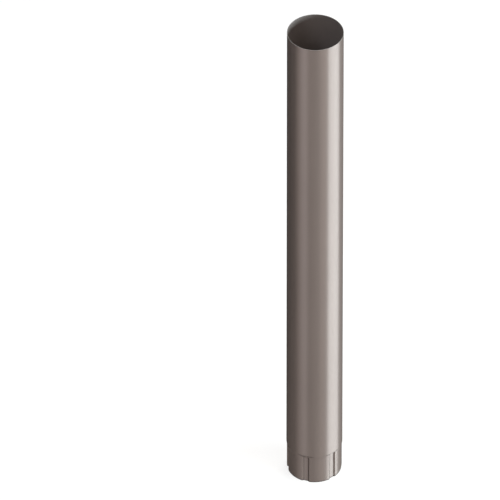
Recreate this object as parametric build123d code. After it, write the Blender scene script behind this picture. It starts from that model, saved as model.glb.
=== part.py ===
from build123d import *
import math
import os

# Round rainwater downpipe rolled from one sheet of coated steel, standing on its spigot.
# Millimetres, +Z up. The origin is on the pipe's axis, in the plane of the lower rim.
# Angles are read round +Z from the front of the pipe, -Y, towards +X.

# The sheet and the plain round body
pipe_length = 1000.0
pipe_diameter = 100.0
sheet_thickness = 0.6

# The swaged lower end, which slides into the top of the next pipe
spigot_clearance = 0.4
spigot_straight_length = 46.0
taper_length = 10.0
lead_in_length = 5.0
lead_in_depth = 0.5

# The flutes pressed into the spigot, each from the rim to just below the plain body
flute_count = 6
flute_below_shoulder = 1.6
flute_first_angle = -18.9
flute_width = 13.6
flute_depth = 3.2
flute_wall_draft = 12.0
flute_corner_radius = 3.0
flute_floor_radius = 0.9
flute_mouth_radius = 1.5

# The lengthwise seam at the back, dressed flush with the sheet
seam_angle = 180.0
seam_groove_width = 1.2
seam_groove_depth = 0.25

# How far a cutting solid runs past the sheet, and how near an edge counts as on its surface
overrun = 5.0
surface_tolerance = 0.01

body_radius = pipe_diameter / 2
bore_radius = body_radius - sheet_thickness
spigot_radius = bore_radius - spigot_clearance
floor_radius = spigot_radius - flute_depth
spigot_top = lead_in_length + spigot_straight_length
shoulder_height = spigot_top + taper_length
flute_top = shoulder_height - flute_below_shoulder
cutter_bottom = -2 * overrun


def side_section(inset, past_ends, reach):
    """The area between an upright line at reach and the pipe's side, moved inwards by inset and run on
    past both ends. The lead-in is still left off."""
    body = body_radius - inset
    spigot = spigot_radius - inset
    top = pipe_length + past_ends
    outline = [
        Line((body, top), (body, shoulder_height)),
        Spline((body, shoulder_height), (spigot, spigot_top), tangents=[(0, -1), (0, -1)]),
        Line((spigot, spigot_top), (spigot, -past_ends)),
        Line((spigot, -past_ends), (reach, -past_ends)),
        Line((reach, -past_ends), (reach, top)),
        Line((reach, top), (body, top)),
    ]
    return Plane.XZ * make_face(outline)


def lead_in_ring(inset):
    """What the cone at the rim takes off the spigot, so that it starts easily in the next pipe."""
    crossing = spigot_radius - inset
    slope = lead_in_depth / lead_in_length
    reach = body_radius + overrun
    outline = [
        (crossing - (lead_in_length - cutter_bottom) * slope, cutter_bottom),
        (reach, cutter_bottom),
        (reach, lead_in_length + overrun),
        (crossing + overrun * slope, lead_in_length + overrun),
    ]
    return revolve(Plane.XZ * make_face(Polyline(*outline, close=True)), Axis.Z)


def flute_hollow(inset):
    """One flute's hollow at the front of the pipe; for the inside of the sheet it is larger by inset."""
    slope = math.tan(math.radians(flute_wall_draft))
    half_width = flute_width / 2 + inset / math.cos(math.radians(flute_wall_draft))
    far = body_radius + overrun
    half_far = half_width + (far - spigot_radius) * slope
    near = floor_radius - flute_depth
    half_near = half_width - (spigot_radius - near) * slope
    corners = [(-half_far, -far), (half_far, -far), (half_near, -near), (-half_near, -near)]
    plan = make_face(Polyline(*corners, close=True))
    block = Pos(0, 0, cutter_bottom) * extrude(plan, flute_top + inset - cutter_bottom)
    end_face = block.faces().sort_by(Axis.Z)[-1]
    end_corners = end_face.edges().filter_by(lambda edge: abs(edge.tangent_at(0.5).Y) > 0.5)
    block = fillet(end_corners, flute_corner_radius + inset)
    hollow = block - Cylinder(floor_radius - inset, 2 * pipe_length)
    floor = hollow.faces().filter_by(GeomType.CYLINDER).sort_by(SortBy.AREA)[-1]
    floor_edges = floor.edges().filter_by(lambda edge: edge.center().Z > -overrun)
    return fillet(floor_edges, flute_floor_radius + inset)


def is_flute_mouth(edge, inset):
    """Whether an edge of the fluted form runs along the mouth of a flute."""
    middle = edge.position_at(0.5)
    from_axis = math.hypot(middle.X, middle.Y)
    pitch = 360 / flute_count
    angle = math.degrees(math.atan2(middle.X, -middle.Y)) - flute_first_angle
    off_flute = abs((angle + pitch / 2) % pitch - pitch / 2)
    half_mouth = math.degrees(math.asin((flute_width / 2 + flute_depth) / spigot_radius))
    on_surface = from_axis > spigot_radius - inset - surface_tolerance
    return off_flute < half_mouth and on_surface and middle.Z < shoulder_height


def fluted_form(inset, past_ends):
    """Everything inside the pipe's side, with the flutes' mouths rounded as the sheet bends over."""
    form = revolve(side_section(inset, past_ends, 0), Axis.Z)
    hollow = flute_hollow(inset)
    for index in range(flute_count):
        form -= Rot(0, 0, flute_first_angle + index * 360 / flute_count) * hollow
    mouths = form.edges().filter_by(lambda edge: is_flute_mouth(edge, inset))
    return fillet(mouths, flute_mouth_radius - inset) - lead_in_ring(inset)


def seam_groove():
    """The shallow flat groove along the seam, from rim to rim."""
    beside = side_section(seam_groove_depth, overrun, body_radius + overrun)
    return Rot(0, 0, seam_angle - 90) * extrude(beside, seam_groove_width / 2, both=True)


def downpipe():
    """The whole pipe: one sheet of the same thickness all over."""
    return fluted_form(0, 0) - fluted_form(sheet_thickness, overrun) - seam_groove()


pipe = downpipe()
print("volume", round(pipe.volume), "solids", len(pipe.solids()), "valid", pipe.is_valid)
print(pipe.bounding_box())

os.makedirs("parts", exist_ok=True)
export_step(pipe, "parts/downpipe.step")
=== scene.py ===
import math

import bpy
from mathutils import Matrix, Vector


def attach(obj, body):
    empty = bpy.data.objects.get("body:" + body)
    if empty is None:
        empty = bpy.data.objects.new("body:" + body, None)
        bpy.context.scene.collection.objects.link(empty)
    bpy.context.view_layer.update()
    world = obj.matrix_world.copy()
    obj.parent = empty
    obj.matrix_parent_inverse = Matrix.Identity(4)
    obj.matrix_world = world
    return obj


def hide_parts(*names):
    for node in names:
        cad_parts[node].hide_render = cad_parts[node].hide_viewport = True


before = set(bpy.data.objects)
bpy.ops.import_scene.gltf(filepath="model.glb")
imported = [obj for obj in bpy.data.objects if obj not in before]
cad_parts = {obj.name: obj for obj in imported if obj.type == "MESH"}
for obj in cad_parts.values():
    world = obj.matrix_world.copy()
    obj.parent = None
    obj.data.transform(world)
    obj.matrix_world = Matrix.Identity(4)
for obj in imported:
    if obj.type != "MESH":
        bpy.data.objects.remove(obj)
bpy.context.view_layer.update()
scene = bpy.context.scene
mmPerMetre = 1000


def mm(value):
    # millimetres to Blender's metres
    return value / mmPerMetre


def repeatsOf(sizeMm):
    # scale of a noise whose grains are this many millimetres across
    return mmPerMetre / sizeMm


def hexColour(code):
    # sRGB hex to the linear values that the shaders want
    parts = [int(code[i:i + 2], 16) / 255 for i in (1, 3, 5)]
    return [*(c / 12.92 if c <= 0.04045 else ((c + 0.055) / 1.055) ** 2.4 for c in parts), 1.0]


def addNode(tree, kind, settings=None, inputs=None):
    node = tree.nodes.new(kind)
    for name, value in (settings or {}).items():
        setattr(node, name, value)
    for name, value in (inputs or {}).items():
        if isinstance(value, bpy.types.NodeSocket):
            tree.links.new(value, node.inputs[name])
        else:
            node.inputs[name].default_value = value
    return node


def newMaterial(name):
    material = bpy.data.materials.new(name)
    material.use_nodes = True
    material.node_tree.nodes.clear()
    return material, material.node_tree


def addObject(name, data):
    thing = bpy.data.objects.new(name, data)
    scene.collection.objects.link(thing)
    return thing


def addMesh(name, verts, faces):
    mesh = bpy.data.meshes.new(name)
    mesh.from_pydata(verts, [], faces)
    return addObject(name, mesh)


# a long lens from far off, which keeps the pipe's sides parallel
shot = {
    "elevation": 40.0,        # looking down at the pipe, degrees
    "pixelsPerMetre": 564.3,  # across the picture, at the pipe
    "pipeColumn": 314.82,     # where the pipe's axis stands, counted from the left
    "frameWidth": 500,        # pixels
    "sensorWidth": 36.0,      # mm
    "distance": 38.0,         # metres, as are the next ones
    "aimHeight": 0.5007,
    "clipStart": 0.5,
    "clipEnd": 200.0,
}


def placeCamera():
    data = bpy.data.cameras.new("longLens")
    data.sensor_width = shot["sensorWidth"]
    data.lens = shot["sensorWidth"] * shot["distance"] * shot["pixelsPerMetre"] / shot["frameWidth"]
    data.clip_start = shot["clipStart"]
    data.clip_end = shot["clipEnd"]
    camera = addObject("longLens", data)
    aside = (shot["frameWidth"] / 2 - shot["pipeColumn"]) / shot["pixelsPerMetre"]
    down = math.radians(shot["elevation"])
    back = Vector((0, -math.cos(down), math.sin(down)))
    camera.location = Vector((aside, 0, shot["aimHeight"])) + back * shot["distance"]
    camera.rotation_euler = (-back).to_track_quat("-Z", "Y").to_euler()
    scene.camera = camera


placeCamera()
print("camera placed")

# the pipe in millimetres; angles are degrees round its axis, from the front (-Y) towards +X
pipeSizes = {
    "length": 1000.0,
    "bodyRadius": 50.0,
    "spigotRadius": 49.0,
    "sheet": 0.6,
    "taperBottom": 51.0,
    "taperTop": 61.0,
    "leadInHeight": 5.0,
    "leadInDepth": 0.5,
    "edgeRound": 0.12,       # burr taken off the cut edges
    "edgeMiddle": 0.29,      # how deep the middle of that rounding lies, as a share of it
    "fluteCount": 6,
    "fluteFirst": -18.9,
    "fluteWidth": 13.6,
    "fluteDepth": 2.7,
    "fluteTop": 60.3,
    "fluteCorner": 4.4,
    "fluteSideLean": 45.0,   # how far the side walls lean open
    "fluteEndLean": 52.0,    # and the wall at the upper end
    "fluteMouth": 0.9,       # bending radius at the mouth
    "fluteFloor": 0.9,       # and at the floor
    "seamAngle": 180.0,
    "seamWidth": 1.2,
    "seamDepth": 0.25,
    "seamSlope": 0.16,       # width of the groove's sloping sides
    "seamClear": 0.3,        # degrees beside the groove without a column
    # how finely the mesh is cut
    "bendSteps": 8,          # round a flute's mouth, and round its floor
    "cornerSteps": 9,
    "acrossSteps": 12,       # across a flute
    "plainSteps": 26,        # across the plain stretch between two flutes
    "plainMargin": 11.5,     # degrees from a flute's middle to that stretch
    "blendSteps": 4,         # from a flute's mouth to that stretch
    "lowRows": [0.6, 1.5, 3.0, 4.6, 5.0, 5.4, 9, 15, 22, 30, 38, 45, 49, 51, 53, 54.6, 55.8],
    "aboveFlutes": 0.2,      # from the flutes' mouths to the first whole ring
    "shoulderRows": [61.0, 62.0, 65.0],
    "bodyRows": 48,
    "belowRim": 0.4,         # from the last of these to the upper rim
}

# faces of each kind, in the order of the materials
outsideFace = 0
insideFace = 1
edgeFace = 2


def sideRadius(height):
    # radius of the plain outside: spigot, taper and body
    size = pipeSizes
    t = (height - size["taperBottom"]) / (size["taperTop"] - size["taperBottom"])
    t = min(1, max(0, t))
    ease = t * t * (3 - 2 * t)
    return size["spigotRadius"] + (size["bodyRadius"] - size["spigotRadius"]) * ease


def leadInRadius(height):
    size = pipeSizes
    aboveCone = height - size["leadInHeight"]
    return size["spigotRadius"] + aboveCone * size["leadInDepth"] / size["leadInHeight"]


def wallProfile(upTheEnd):
    # from a flute's mouth down its wall to its floor: (outwards, depth, slope) of the outside;
    # upTheEnd goes from 0 at the side walls to 1 at the upper end
    size = pipeSizes
    steps = size["bendSteps"]
    lean = math.radians(
        size["fluteSideLean"] + (size["fluteEndLean"] - size["fluteSideLean"]) * upTheEnd)
    turn = math.pi / 2 - lean
    mouth = size["fluteMouth"]
    floor = size["fluteFloor"]
    start = mouth * math.tan(turn / 2)
    foot = -size["fluteDepth"] * math.tan(lean) - floor * math.tan(turn / 2)
    points = []
    for i in range(steps + 1):
        slope = turn * i / steps
        points.append((start - mouth * math.sin(slope), mouth * (1 - math.cos(slope)), slope))
    for i in range(steps, -1, -1):
        slope = turn * i / steps
        depth = size["fluteDepth"] - floor * (1 - math.cos(slope))
        points.append((foot + floor * math.sin(slope), depth, slope))
    return points


def pipePoint(angle, across, height, depth, inwards):
    # a point that lies depth under the plain side, and across square to a line at the angle;
    # inwards is how far the skin that it is on lies inside the sheet's outside
    radius = sideRadius(height) - depth
    if height < pipeSizes["leadInHeight"]:
        radius = min(radius, leadInRadius(height) - inwards)
    turned = math.radians(angle) + math.asin(across / radius)
    return Vector((mm(radius * math.sin(turned)), mm(-radius * math.cos(turned)), mm(height)))


def seamDip(angle):
    # depth of the dressed seam at this angle
    size = pipeSizes
    away = math.radians((angle - size["seamAngle"] + 180) % 360 - 180) * size["bodyRadius"]
    groove = size["seamWidth"] / 2
    slope = size["seamSlope"]
    return size["seamDepth"] * min(1, max(0, (groove + slope / 2 - abs(away)) / slope))


def nearAngle(angle, to):
    # the same angle, on the turn nearest to another
    return angle + 360 * round((to - angle) / 360)


def plainAngles(index):
    # columns of the plain stretch between one flute and the next
    size = pipeSizes
    pitch = 360 / size["fluteCount"]
    steps = size["plainSteps"]
    first = size["fluteFirst"] + index * pitch + size["plainMargin"]
    span = pitch - 2 * size["plainMargin"]
    angles = [first + span * i / steps for i in range(steps + 1)]
    seam = size["seamAngle"]
    if angles[0] < seam < angles[-1]:
        halfSlope = size["seamSlope"] / 2
        edge = math.degrees((size["seamWidth"] / 2 + halfSlope) / size["bodyRadius"])
        crease = math.degrees((size["seamWidth"] / 2 - halfSlope) / size["bodyRadius"])
        angles = [a for a in angles if abs(a - seam) > edge + size["seamClear"]]
        angles += [seam - edge, seam - crease, seam, seam + crease, seam + edge]
        angles.sort()
    return angles


def buildPipe():
    # one sheet with an outer and an inner skin, joined round both rims by a rounded cut edge
    size = pipeSizes
    sideProfile = wallProfile(0)
    endProfile = wallProfile(1)
    pitch = 360 / size["fluteCount"]
    half = size["fluteWidth"] / 2
    corner = size["fluteCorner"]
    cornerSteps = size["cornerSteps"]
    acrossSteps = size["acrossSteps"]
    blendSteps = size["blendSteps"]
    edge = size["edgeRound"]

    # rows up the straight part of the flutes, and rows round the whole pipe above them
    lowRows = [edge, *size["lowRows"], size["fluteTop"] - corner]
    bodyBottom = size["shoulderRows"][-1]
    bodyTall = size["length"] - size["belowRim"] - bodyBottom
    highRows = [size["fluteTop"] + endProfile[0][0] + size["aboveFlutes"], *size["shoulderRows"]]
    for i in range(1, size["bodyRows"] + 1):
        highRows.append(bodyBottom + bodyTall * (i / size["bodyRows"]))
    highRows.append(size["length"] - edge)

    verts = []
    faces = []
    kinds = []

    def addVert(point):
        verts.append(point)
        return len(verts) - 1

    def addStrip(lower, upper, kind):
        for i in range(len(lower) - 1):
            faces.append((lower[i], lower[i + 1], upper[i + 1], upper[i]))
            kinds.append(kind)

    def addRing(lower, upper, kind):
        addStrip([*lower, lower[0]], [*upper, upper[0]], kind)

    def angleOf(vert):
        point = verts[vert]
        return math.degrees(math.atan2(point.x, -point.y))

    def heightOf(vert):
        return verts[vert].z * mmPerMetre

    def plainRow(index, leftVert, rightVert, inwards):
        # a row from the mouth of one flute to the mouth of the next
        first = size["fluteFirst"] + index * pitch
        height = heightOf(leftVert)
        leftAngle = nearAngle(angleOf(leftVert), first)
        rightAngle = nearAngle(angleOf(rightVert), first + pitch)
        angles = plainAngles(index)
        row = [leftVert]
        for i in range(1, blendSteps):
            a = leftAngle + (angles[0] - leftAngle) * i / blendSteps
            row.append(addVert(pipePoint(a, 0, height, inwards, inwards)))
        for a in angles:
            dip = 0 if inwards else seamDip(a)
            row.append(addVert(pipePoint(a, 0, height, inwards + dip, inwards)))
        for i in range(1, blendSteps):
            a = angles[-1] + (rightAngle - angles[-1]) * i / blendSteps
            row.append(addVert(pipePoint(a, 0, height, inwards, inwards)))
        return [*row, rightVert]

    def fluteRow(first, leftVert, rightVert, height, depth, inwards):
        # a row across one flute, from its left side to its right side
        leftAngle = nearAngle(angleOf(leftVert), first)
        rightAngle = nearAngle(angleOf(rightVert), first)
        row = [leftVert]
        for i in range(1, acrossSteps):
            a = leftAngle + (rightAngle - leftAngle) * i / acrossSteps
            row.append(addVert(pipePoint(a, 0, height, depth, inwards)))
        return [*row, rightVert]

    def wallLines(first, side, inwards):
        # one side wall of a flute: for each row, its vertices from mouth to floor
        lines = []
        for height in lowRows:
            line = []
            for outwards, depth, slope in sideProfile:
                across = side * (half + outwards + inwards * math.sin(slope))
                sunk = depth + inwards * math.cos(slope)
                line.append(addVert(pipePoint(first, across, height, sunk, inwards)))
            lines.append(line)
        return lines

    def cornerLines(first, side, inwards):
        # and on round the upper corner, where the wall leans more and more
        lines = []
        for step in range(1, cornerSteps + 1):
            a = math.pi / 2 * step / cornerSteps
            line = []
            for outwards, depth, slope in wallProfile(step / cornerSteps):
                reach = corner + outwards + inwards * math.sin(slope)
                across = side * (half - corner + reach * math.cos(a))
                height = size["fluteTop"] - corner + reach * math.sin(a)
                sunk = depth + inwards * math.cos(slope)
                line.append(addVert(pipePoint(first, across, height, sunk, inwards)))
            lines.append(line)
        return lines

    def buildFlute(first, left, right, inwards, kind):
        # the faces of one flute; gives back its row at the rim and its row at the upper end's mouth
        for lower, upper in zip(left, left[1:]):
            addStrip(lower, upper, kind)
        for lower, upper in zip(right, right[1:]):
            addStrip(lower[::-1], upper[::-1], kind)
        floorDepth = size["fluteDepth"] + inwards
        floorRows = []
        for leftLine, rightLine in zip(left, right):
            height = heightOf(leftLine[-1])
            floorRows.append(
                fluteRow(first, leftLine[-1], rightLine[-1], height, floorDepth, inwards))
        for lower, upper in zip(floorRows, floorRows[1:]):
            addStrip(lower, upper, kind)
        # the wall at the upper end, from the floor's last row up to the mouth
        previous = floorRows[-1]
        for step in range(len(endProfile) - 2, -1, -1):
            outwards, depth, slope = endProfile[step]
            height = size["fluteTop"] + outwards + inwards * math.sin(slope)
            sunk = depth + inwards * math.cos(slope)
            row = fluteRow(first, left[-1][step], right[-1][step], height, sunk, inwards)
            addStrip(previous, row, kind)
            previous = row
        return left[0] + floorRows[0][1:-1] + right[0][::-1], previous

    def buildSkin(inwards, kind):
        # one skin of the sheet; gives back its lowest and its highest ring
        flutes = range(size["fluteCount"])
        sides = {}
        for index in flutes:
            first = size["fluteFirst"] + index * pitch
            for side in (-1, 1):
                sides[index, side] = (wallLines(first, side, inwards)
                                      + cornerLines(first, side, inwards))
        fluteEnds = []
        for index in flutes:
            first = size["fluteFirst"] + index * pitch
            fluteEnds.append(buildFlute(first, sides[index, -1], sides[index, 1], inwards, kind))
        # the plain stretches beside the flutes
        lowRing = []
        ring = []
        for index in flutes:
            nextIndex = (index + 1) % size["fluteCount"]
            lines = []
            for leftLine, rightLine in zip(sides[index, 1], sides[nextIndex, -1]):
                lines.append(plainRow(index, leftLine[0], rightLine[0], inwards))
            for lower, upper in zip(lines, lines[1:]):
                addStrip(lower, upper, kind)
            fluteLow, fluteHigh = fluteEnds[index]
            lowRing += fluteLow[:-1] + lines[0][:-1]
            ring += fluteHigh[:-1] + lines[-1][:-1]
        # whole rings above the flutes, in the columns of the last row
        angles = [angleOf(ring[0])]
        for vert in ring[1:]:
            a = nearAngle(angleOf(vert), angles[-1])
            angles.append(a if a >= angles[-1] else a + 360)
        for height in highRows:
            newRing = []
            for a in angles:
                dip = 0 if inwards else seamDip(a)
                newRing.append(addVert(pipePoint(a, 0, height, inwards + dip, inwards)))
            addRing(ring, newRing, kind)
            ring = newRing
        return lowRing, ring

    def rimRings(outer, inner, ends):
        # rings from the outer skin to the inner one: (share of the way across, height)
        rings = [outer]
        for share, height in ends:
            ring = []
            for o, i in zip(outer, inner):
                point = verts[o].lerp(verts[i], share)
                ring.append(addVert(Vector((point.x, point.y, mm(height)))))
            rings.append(ring)
        return [*rings, inner]

    outerLow, outerTop = buildSkin(0, outsideFace)
    innerLow, innerTop = buildSkin(size["sheet"], insideFace)

    sunk = edge * size["edgeMiddle"]
    sheet = size["sheet"]
    ends = [(sunk / sheet, sunk), (edge / sheet, 0.0)]
    ends += [(1 - edge / sheet, 0.0), (1 - sunk / sheet, sunk)]
    lowRings = rimRings(outerLow, innerLow, ends)
    for outer, inner in zip(lowRings, lowRings[1:]):
        addRing(inner, outer, edgeFace)
    highEnds = [(share, size["length"] - height) for share, height in ends]
    highRings = rimRings(outerTop, innerTop, highEnds)
    for outer, inner in zip(highRings, highRings[1:]):
        addRing(outer, inner, edgeFace)

    # the inner skin faces the axis
    faces = [face[::-1] if kind == insideFace else face for face, kind in zip(faces, kinds)]
    pipe = addMesh("pipeSheet", verts, faces)
    pipe.data.polygons.foreach_set("material_index", kinds)
    pipe.data.polygons.foreach_set("use_smooth", [True] * len(faces))
    pipe.data.validate()
    pipe.data.update()
    return pipe


pipe = buildPipe()
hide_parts("downpipe")
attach(pipe, "root")
print("pipe built:", len(pipe.data.polygons), "faces")

coats = {
    "cloudMm": 160.0,            # slow change of shade along the coil
    "cloudSpread": 0.05,         # as a share of the colour
    "rollMm": 9.0,               # faint lines along the way the sheet was rolled
    "rollStretch": 0.02,
    "rollNoise": (0.3, 0.7),     # most of the noise lies between these
    "rollSpread": 0.03,          # of roughness, to each side
    "peelMm": 5.0,               # orange peel is nearer 1 mm, drawn coarser so that it shows
    "peelStrength": 0.06,
    "peelHeightMm": 0.05,
    # painted shade darkens the coat in three places, sizes in mm
    "creaseReach": 2.5,          # painted shade in the creases of the flutes, taken from ambient occlusion
    "creaseSamples": 8,
    "creaseOpenness": (0.75, 0.97),
    "paintedCreaseShade": 0.42,
    "paintedRimShade": (1.0, 3.0),       # painted shade along the rim that the pipe stands on
    "paintedRimShadeWander": 0.6,
    "paintedRimShadeFactor": 0.3,
    "bendAt": 59.5,              # painted shade in the bend of the shoulder, above and beside each flute
    "paintedBendShade": (0.8, 1.9),
    "bendFade": (-0.6, 0.3),     # where it fades out between the flutes, on a wave of their pitch
    "paintedBendShadeFactor": 0.63,
    "drawnOut": 0.25,            # turns the highlights so that they run along the pipe
    "outside": {"colour": "#82746d", "roughness": 0.5, "metallic": 0.7, "ior": 1.5,
                "edgeTint": "#686868", "anisotropic": 1.0, "hasPaintedShade": True},
    "inside": {"colour": "#6b605a", "roughness": 0.55, "metallic": 0.1, "ior": 1.5,
               "edgeTint": "#ffffff", "anisotropic": 0.0, "hasPaintedShade": False},
    "cutEdge": {"colour": "#7f7b77", "roughness": 0.6, "metallic": 0.4, "ior": 1.5,
                "edgeTint": "#ffffff", "anisotropic": 0.0, "hasPaintedShade": False},
}


def paintedBendShade(tree, part):
    # 1 elsewhere, painted shade in a line round the shoulder that fades out between the flutes
    count = pipeSizes["fluteCount"]
    turn = addNode(tree, "ShaderNodeMath", {"operation": "ARCTAN2"}, {
        0: part.outputs["Y"], 1: part.outputs["X"]})
    phase = addNode(tree, "ShaderNodeMath", {"operation": "MULTIPLY_ADD"}, {
        0: turn.outputs[0], 1: count, 2: count * math.radians(90 - pipeSizes["fluteFirst"])})
    wave = addNode(tree, "ShaderNodeMath", {"operation": "COSINE"}, {0: phase.outputs[0]})
    between, beside = coats["bendFade"]
    byFlute = addNode(tree, "ShaderNodeMapRange", {"interpolation_type": "SMOOTHSTEP"}, {
        "Value": wave.outputs[0], "From Min": between, "From Max": beside})
    fromBend = addNode(tree, "ShaderNodeMath", {"operation": "SUBTRACT"}, {
        0: part.outputs["Z"], 1: mm(coats["bendAt"])})
    away = addNode(tree, "ShaderNodeMath", {"operation": "ABSOLUTE"}, {0: fromBend.outputs[0]})
    full, gone = coats["paintedBendShade"]
    byHeight = addNode(tree, "ShaderNodeMapRange", {"interpolation_type": "SMOOTHSTEP"}, {
        "Value": away.outputs[0], "From Min": mm(full), "From Max": mm(gone),
        "To Min": 1.0, "To Max": 0.0})
    amount = addNode(tree, "ShaderNodeMath", {"operation": "MULTIPLY"}, {
        0: byFlute.outputs["Result"], 1: byHeight.outputs["Result"]})
    return addNode(tree, "ShaderNodeMath", {"operation": "MULTIPLY_ADD"}, {
        0: amount.outputs[0], 1: coats["paintedBendShadeFactor"] - 1, 2: 1.0}).outputs[0]


def paintedShadeOn(tree, place, cloud):
    # what the base colour is multiplied by: 1 elsewhere, less where shade is painted
    part = addNode(tree, "ShaderNodeSeparateXYZ", inputs={"Vector": place})
    # painted shade: darker where ambient occlusion finds the surface hemmed in, in the flutes'
    # creases
    hollow = addNode(tree, "ShaderNodeAmbientOcclusion", {
        "samples": coats["creaseSamples"], "only_local": True}, {
        "Distance": mm(coats["creaseReach"])})
    shut, clear = coats["creaseOpenness"]
    crease = addNode(tree, "ShaderNodeMapRange", inputs={
        "Value": hollow.outputs["AO"], "From Min": shut, "From Max": clear,
        "To Min": coats["paintedCreaseShade"], "To Max": 1.0})
    # painted shade, darker towards the lower rim, with an edge that wavers with the cloud noise
    uneven = addNode(tree, "ShaderNodeMath", {"operation": "MULTIPLY_ADD"}, {
        0: cloud.outputs["Fac"], 1: mm(coats["paintedRimShadeWander"]), 2: part.outputs["Z"]})
    full, gone = coats["paintedRimShade"]
    rim = addNode(tree, "ShaderNodeMapRange", {"interpolation_type": "SMOOTHSTEP"}, {
        "Value": uneven.outputs[0], "From Min": mm(full), "From Max": mm(gone),
        "To Min": coats["paintedRimShadeFactor"], "To Max": 1.0})
    low = addNode(tree, "ShaderNodeMath", {"operation": "MULTIPLY"}, {
        0: crease.outputs["Result"], 1: rim.outputs["Result"]})
    return addNode(tree, "ShaderNodeMath", {"operation": "MULTIPLY"}, {
        0: low.outputs[0], 1: paintedBendShade(tree, part)}).outputs[0]


def sheetMaterial(name, coat):
    material, tree = newMaterial(name)
    place = addNode(tree, "ShaderNodeTexCoord").outputs["Object"]
    cloud = addNode(tree, "ShaderNodeTexNoise", inputs={
        "Vector": place, "Scale": repeatsOf(coats["cloudMm"]), "Detail": 3.0, "Roughness": 0.5})
    stretched = addNode(tree, "ShaderNodeMapping", inputs={
        "Vector": place, "Scale": (1, 1, coats["rollStretch"])})
    roll = addNode(tree, "ShaderNodeTexNoise", inputs={
        "Vector": stretched.outputs["Vector"], "Scale": repeatsOf(coats["rollMm"]), "Detail": 2.0})
    peel = addNode(tree, "ShaderNodeTexNoise", inputs={
        "Vector": place, "Scale": repeatsOf(coats["peelMm"]), "Detail": 2.0, "Roughness": 0.4})
    base = hexColour(coat["colour"])[:3]
    shade = addNode(tree, "ShaderNodeMix", {"data_type": "RGBA"}, {
        "Factor": cloud.outputs["Fac"],
        "A": [*(c * (1 - coats["cloudSpread"]) for c in base), 1.0],
        "B": [*(c * (1 + coats["cloudSpread"]) for c in base), 1.0]})
    # painted shade multiplied into the base colour
    if coat["hasPaintedShade"]:
        shade = addNode(tree, "ShaderNodeMix", {"data_type": "RGBA", "blend_type": "MULTIPLY"}, {
            "Factor": 1.0, "A": shade.outputs["Result"], "B": paintedShadeOn(tree, place, cloud)})
    low, high = coats["rollNoise"]
    rough = addNode(tree, "ShaderNodeMapRange", inputs={
        "Value": roll.outputs["Fac"], "From Min": low, "From Max": high,
        "To Min": coat["roughness"] - coats["rollSpread"],
        "To Max": coat["roughness"] + coats["rollSpread"]})
    bump = addNode(tree, "ShaderNodeBump", inputs={
        "Height": peel.outputs["Fac"], "Strength": coats["peelStrength"],
        "Distance": mm(coats["peelHeightMm"])})
    tangent = addNode(tree, "ShaderNodeTangent", {"direction_type": "RADIAL", "axis": "Z"})
    shader = addNode(tree, "ShaderNodeBsdfPrincipled", inputs={
        "Base Color": shade.outputs["Result"], "Roughness": rough.outputs["Result"],
        "Metallic": coat["metallic"], "IOR": coat["ior"],
        "Specular Tint": hexColour(coat["edgeTint"]),
        "Anisotropic": coat["anisotropic"], "Anisotropic Rotation": coats["drawnOut"],
        "Normal": bump.outputs["Normal"], "Tangent": tangent.outputs["Tangent"]})
    addNode(tree, "ShaderNodeOutputMaterial", inputs={"Surface": shader.outputs["BSDF"]})
    return material


# Coil-coated steel: polyester paint with metal flake, rolled on and baked before the sheet was
# bent. The eye gets upright bands of light, drawn out along the pipe, and faint orange peel.
# Its base colour carries painted shade in the flutes' creases, along the lower rim and at the
# shoulder's bend.
polyesterCoat = sheetMaterial("polyesterCoatOutside", coats["outside"])

# The thin backing coat, rolled on without flake: dull and even, so the bore just looks dark.
backingCoat = sheetMaterial("backingCoatInside", coats["inside"])

# The sheared edge shows bare zinc and steel: a fine paler line round the rim.
cutEdge = sheetMaterial("shearedZincEdge", coats["cutEdge"])

for material in (polyesterCoat, backingCoat, cutEdge):
    pipe.data.materials.append(material)
print("coats made")

# The studio in metres, azimuths in degrees round the pipe from the front towards +X.
studio = {
    "floorRadius": 2.18,       # ends just inside the black flags
    "floorSteps": 96,
    "floorColour": "#8e8a85",  # warm, because the lamps that light it are cool
    "floorGlow": 0.77,         # lifts what is seen of the floor to white
    "ambient": 0.18,
    "lamps": {
        # the broad bright band at the right; low, so that it stays out of the bore
        "keySoftbox": {"azimuth": 72.5, "away": 6.0, "height": 1.34, "aimHeight": 1.34,
                       "width": 5.4, "tall": 1.4, "level": 43.5, "colour": "#def4ff"},
        # the faint band at the left
        "leftStrip": {"azimuth": -51.5, "away": 5.0, "height": 7.4, "aimHeight": 7.4,
                      "width": 3.1, "tall": 4.6, "level": 9.6, "colour": "#e5f1ff"},
        "frontFill": {"azimuth": 32, "away": 3.06, "height": 2.87, "aimHeight": 0.3,
                      "width": 1.6, "tall": 1.6, "level": 1.8, "colour": "#ffffff"},
        "topRightFill": {"azimuth": 50, "away": 2.0, "height": 3.76, "aimHeight": 0.3,
                         "width": 2.0, "tall": 1.5, "level": 2.0, "colour": "#ffffff"},
        "backFill": {"azimuth": 163, "away": 3.0, "height": 5.5, "aimHeight": 0.5,
                     "width": 2.4, "tall": 2.0, "level": 9.0, "colour": "#ffffff"},
        "overhead": {"azimuth": 0, "away": 0.01, "height": 3.1, "aimHeight": 0.3,
                     "width": 2.6, "tall": 2.6, "level": 0.75, "colour": "#ffffff"},
    },
    "flagColour": "#272727",
    "flagSteps": 24,
    "flags": {
        "leftFlag": {"from": -72, "to": -178, "radius": 2.2, "bottom": 0.0, "top": 2.5},
        "rightFlag": {"from": 128, "to": 178, "radius": 2.2, "bottom": 0.0, "top": 2.5},
    },
}


def seenDirectly(tree):
    # 1 for what the camera, a reflection or clear glass sees
    path = addNode(tree, "ShaderNodeLightPath")
    seen = path.outputs["Is Camera Ray"]
    for other in ("Is Glossy Ray", "Is Transmission Ray"):
        seen = addNode(tree, "ShaderNodeMath", {"operation": "MAXIMUM"}, {
            0: seen, 1: path.outputs[other]}).outputs[0]
    return seen


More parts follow.
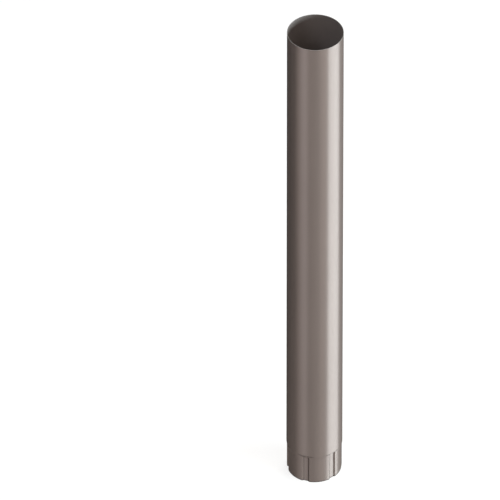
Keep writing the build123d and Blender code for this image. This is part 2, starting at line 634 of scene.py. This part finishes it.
def addFloor():
    # a round matt floor, on which the pipe's shadow stays
    steps = studio["floorSteps"]
    radius = studio["floorRadius"]
    turns = [2 * math.pi * i / steps for i in range(steps)]
    ring = [(radius * math.cos(a), radius * math.sin(a), 0) for a in turns]
    floor = addMesh("studioFloor", ring, [tuple(range(steps))])
    material, tree = newMaterial("whiteFloor")
    matt = addNode(tree, "ShaderNodeBsdfDiffuse", inputs={
        "Color": hexColour(studio["floorColour"])})
    strength = addNode(tree, "ShaderNodeMath", {"operation": "MULTIPLY"}, {
        0: seenDirectly(tree), 1: studio["floorGlow"]})
    glow = addNode(tree, "ShaderNodeEmission", inputs={"Strength": strength.outputs[0]})
    both = addNode(tree, "ShaderNodeAddShader", inputs={0: matt.outputs[0], 1: glow.outputs[0]})
    addNode(tree, "ShaderNodeOutputMaterial", inputs={"Surface": both.outputs[0]})
    floor.data.materials.append(material)


def addWorld():
    world = bpy.data.worlds.new("whiteRoom")
    world.use_nodes = True
    tree = world.node_tree
    tree.nodes.clear()
    strength = addNode(tree, "ShaderNodeMapRange", inputs={
        "Value": seenDirectly(tree), "To Min": studio["ambient"], "To Max": 1.0})
    back = addNode(tree, "ShaderNodeBackground", inputs={
        "Color": hexColour("#ffffff"), "Strength": strength.outputs["Result"]})
    addNode(tree, "ShaderNodeOutputWorld", inputs={"Surface": back.outputs[0]})
    scene.world = world


def addLamp(name, lamp):
    # level is how bright the panel's face is, 1 being white
    data = bpy.data.lights.new(name, "AREA")
    data.shape = "RECTANGLE"
    data.size = lamp["width"]
    data.size_y = lamp["tall"]
    data.energy = lamp["level"] * math.pi * lamp["width"] * lamp["tall"]
    data.color = hexColour(lamp["colour"])[:3]
    panel = addObject(name, data)
    a = math.radians(lamp["azimuth"])
    panel.location = (lamp["away"] * math.sin(a), -lamp["away"] * math.cos(a), lamp["height"])
    towards = Vector((0, 0, lamp["aimHeight"])) - panel.location
    panel.rotation_euler = towards.to_track_quat("-Z", "Y").to_euler()
    panel.visible_camera = False


def addFlag(name, flag):
    # a black card bent round one side of the studio, which gives the pipe its dark edges
    steps = studio["flagSteps"]
    verts = []
    for i in range(steps + 1):
        a = math.radians(flag["from"] + (flag["to"] - flag["from"]) * i / steps)
        x, y = flag["radius"] * math.sin(a), -flag["radius"] * math.cos(a)
        verts += [(x, y, flag["bottom"]), (x, y, flag["top"])]
    faces = [(2 * i, 2 * i + 2, 2 * i + 3, 2 * i + 1) for i in range(steps)]
    card = addMesh(name, verts, faces)
    material, tree = newMaterial("blackCard")
    matt = addNode(tree, "ShaderNodeBsdfDiffuse", inputs={
        "Color": hexColour(studio["flagColour"])})
    addNode(tree, "ShaderNodeOutputMaterial", inputs={"Surface": matt.outputs[0]})
    card.data.materials.append(material)
    card.visible_camera = False


addFloor()
addWorld()
for name, lamp in studio["lamps"].items():
    addLamp(name, lamp)
for name, flag in studio["flags"].items():
    addFlag(name, flag)
scene.view_settings.view_transform = "Standard"
print("light set")
